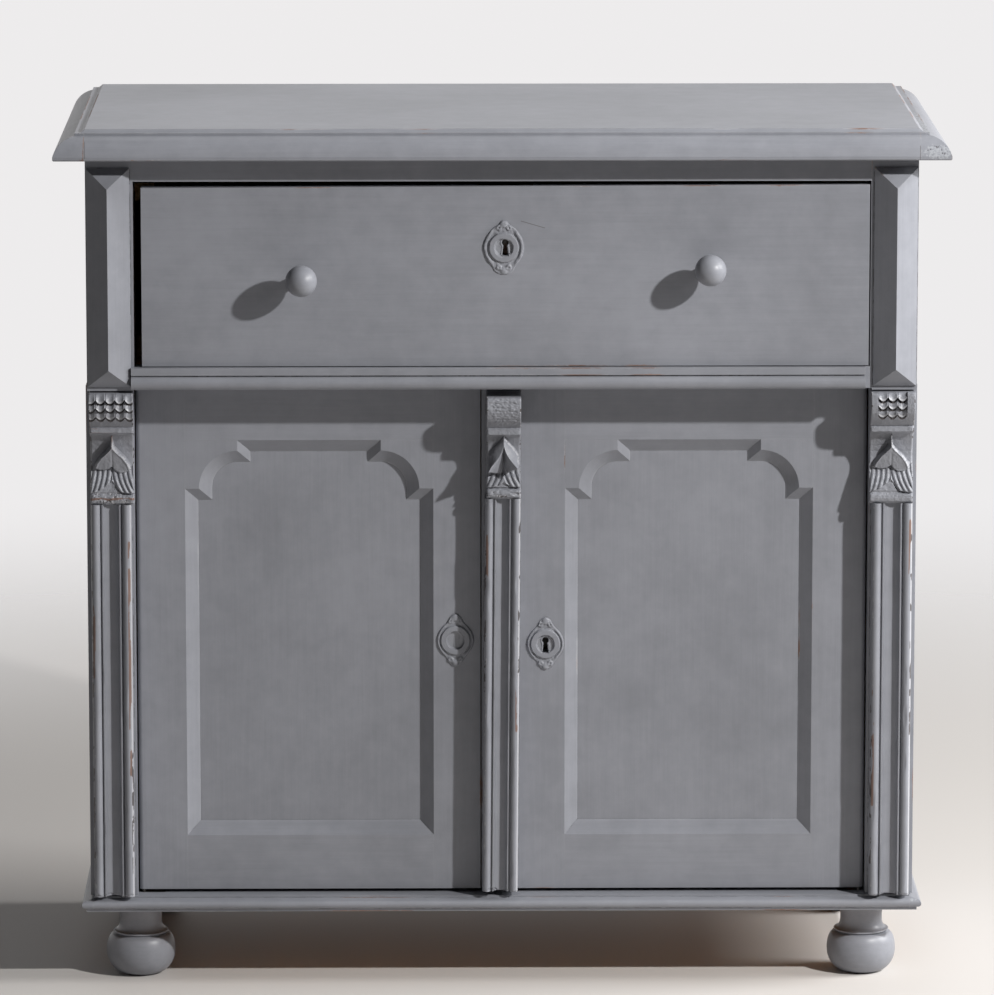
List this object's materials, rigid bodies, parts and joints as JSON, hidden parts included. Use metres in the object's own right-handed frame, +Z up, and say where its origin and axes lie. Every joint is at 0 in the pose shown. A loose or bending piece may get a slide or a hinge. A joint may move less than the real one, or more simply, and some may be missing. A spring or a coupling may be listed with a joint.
{
  "type": "two-door cabinet",
  "caption": "Painted pine cupboard with a wide drawer over panelled doors, carved brackets, fluted corners and turned feet.",
  "frame": {"origin": "on the floor, at the middle of the overall box (the knobs are its front, the top's back edge its back)", "axes": "+X to the right as seen from the front, +Y to the back, +Z up; the front faces -Y"},
  "size_m": [1.01, 0.502, 0.9955],
  "materials": {
    "painted_pine": "satin grey paint, rubbed through to bare pine on a few edges",
    "bare_pine": "bare aged pine",
    "painted_iron": "cast plate under the same grey paint",
    "iron": "dull dark iron"
  },
  "bodies": {
    "case": {"top_board": "painted_pine", "top_moulding_front": "painted_pine", "top_moulding_sides": "painted_pine", "side_left": "painted_pine", "side_right": "painted_pine", "back_boards": "bare_pine", "frieze_rail": "painted_pine", "mid_rail": "painted_pine", "mid_moulding": "painted_pine", "upper_post_left": "painted_pine", "upper_post_right": "painted_pine", "faceted_block_left": "painted_pine", "faceted_block_right": "painted_pine", "lower_stile_left": "painted_pine", "lower_stile_right": "painted_pine", "console_left": "painted_pine", "console_right": "painted_pine", "pilaster_left": "painted_pine", "pilaster_right": "painted_pine", "dust_board": "bare_pine", "drawer_runners": "bare_pine", "drawer_kickers": "bare_pine", "shelf": "bare_pine", "shelf_cleats": "bare_pine", "bottom_board": "painted_pine", "base_moulding_front": "painted_pine", "base_moulding_sides": "painted_pine", "foot_front_left": "painted_pine", "foot_front_right": "painted_pine", "feet_rear": "painted_pine", "door_pivots": "iron"},
    "drawer": {"drawer_front": "painted_pine", "drawer_side_left": "bare_pine", "drawer_side_right": "bare_pine", "drawer_back": "bare_pine", "drawer_bottom": "bare_pine", "drawer_knobs": "painted_pine", "drawer_escutcheon": "painted_iron", "drawer_lock_case": "iron"},
    "drawer_bolt": {"drawer_lock_bolt": "iron"},
    "left_door": {"left_door_hinge_stile": "painted_pine", "left_door_lock_stile": "painted_pine", "left_door_top_rail": "painted_pine", "left_door_bottom_rail": "painted_pine", "left_door_spandrels": "painted_pine", "left_door_panel": "painted_pine", "left_door_escutcheon": "painted_iron", "left_door_staples": "iron"},
    "left_bolt": {"left_door_bolt": "iron"},
    "right_door": {"right_door_hinge_stile": "painted_pine", "right_door_lock_stile": "painted_pine", "right_door_top_rail": "painted_pine", "right_door_bottom_rail": "painted_pine", "right_door_spandrels": "painted_pine", "right_door_panel": "painted_pine", "right_door_escutcheon": "painted_iron", "right_door_lock_case": "iron", "centre_strip": "painted_pine", "centre_console": "painted_pine"},
    "right_bolt": {"right_door_lock_bolt": "iron"}
  },
  "joints": [
    {"name": "drawer_slide", "type": "slide", "parent": "case", "child": "drawer", "axis": [0, -1, 0], "range_m": [0, 0.3]},
    {"name": "left_door_hinge", "type": "hinge", "parent": "case", "child": "left_door", "pos_m": [-0.4132, -0.141, 0.39], "axis": [0, 0, -1], "range_deg": [0, 90]},
    {"name": "right_door_hinge", "type": "hinge", "parent": "case", "child": "right_door", "pos_m": [0.4132, -0.141, 0.39], "axis": [0, 0, 1], "range_deg": [0, 90]},
    {"name": "drawer_lock_bolt_slide", "type": "slide", "parent": "drawer", "child": "drawer_bolt", "axis": [0, 0, 1], "range_m": [0, 0.014]},
    {"name": "left_bolt_slide", "type": "slide", "parent": "left_door", "child": "left_bolt", "axis": [0, 0, 1], "range_m": [0, 0.008]},
    {"name": "right_lock_bolt_slide", "type": "slide", "parent": "right_door", "child": "right_bolt", "axis": [-1, 0, 0], "range_m": [0, 0.01]}
  ]
}
